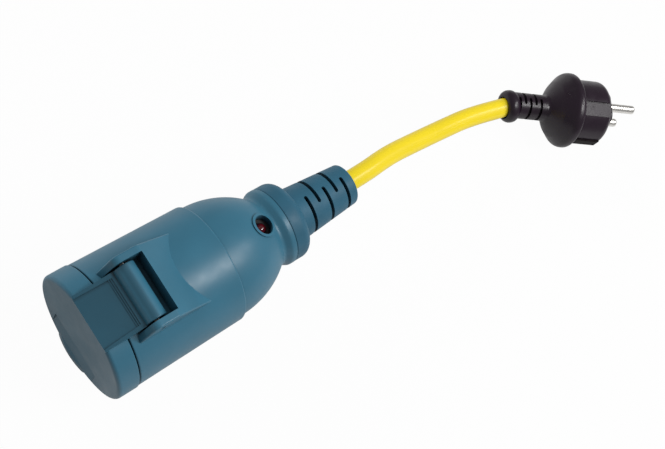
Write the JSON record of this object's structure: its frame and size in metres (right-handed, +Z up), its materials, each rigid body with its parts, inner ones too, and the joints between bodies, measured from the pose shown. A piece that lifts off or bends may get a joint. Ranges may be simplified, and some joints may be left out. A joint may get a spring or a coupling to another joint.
{
  "type": "plug adapter",
  "caption": "Earthed extension adapter: round coupling socket with a sprung hinged lid and pilot lamp, short bent rubber cable and moulded two-pin earthed plug",
  "frame": {"origin": "on the floor under the middle of the coupler, without its cord and plug", "axes": "+X along the coupler's axis from the lid to the cable, +Y across it along the lid's hinge pin, +Z up, with the hinge on top"},
  "size_m": [0.341, 0.0835, 0.0735],
  "materials": {
    "shell": "satin",
    "lid": "satin",
    "sleeve": "matte",
    "seal_rubber": "matte",
    "insert": "matte",
    "contact_brass": "bright",
    "nickel": "bright",
    "steel": "bright",
    "board": "matte",
    "lamp": "glossy",
    "resistor": "matte",
    "capacitor": "glossy",
    "lead": "matte",
    "cable_sheath": "matte",
    "live_insulation": "matte",
    "neutral_insulation": "matte",
    "earth_insulation": "matte",
    "plug_rubber": "matte",
    "plug_bridge": "matte"
  },
  "bodies": {
    "coupler": {"front_housing": "shell", "rear_housing": "shell", "housing_seal": "seal_rubber", "hinge_pin": "steel", "lid_spring": "steel", "socket_insert": "insert", "contact_carrier": "insert", "live_contact": "contact_brass", "neutral_contact": "contact_brass", "terminal_screws": "steel", "earth_bracket": "nickel", "insert_screw": "steel", "insert_nut": "steel", "circuit_board": "board", "pilot_lamp": "lamp", "lamp_holder": "insert", "lamp_resistor": "resistor", "lamp_capacitor": "capacitor", "lamp_leads": "lead", "cable_sleeve": "sleeve", "cable_clamp": "insert", "clamp_screws": "steel", "cable_end": "cable_sheath", "live_core": "live_insulation", "neutral_core": "neutral_insulation", "earth_core": "earth_insulation", "mains_cable": "cable_sheath", "plug_housing": "plug_rubber", "plug_bridge": "plug_bridge", "plug_live_pin": "nickel", "plug_neutral_pin": "nickel", "plug_earth_clips": "nickel"},
    "lid": {"lid": "lid", "lid_seal": "seal_rubber"}
  },
  "joints": [
    {"name": "lid_hinge", "type": "hinge", "parent": "coupler", "child": "lid", "pos_m": [-0.05255, 0, 0.0675], "axis": [0, 1, 0], "range_deg": [0, 120], "stiffness_Nm_per_rad": 0.04, "springref_deg": -143.24}
  ]
}
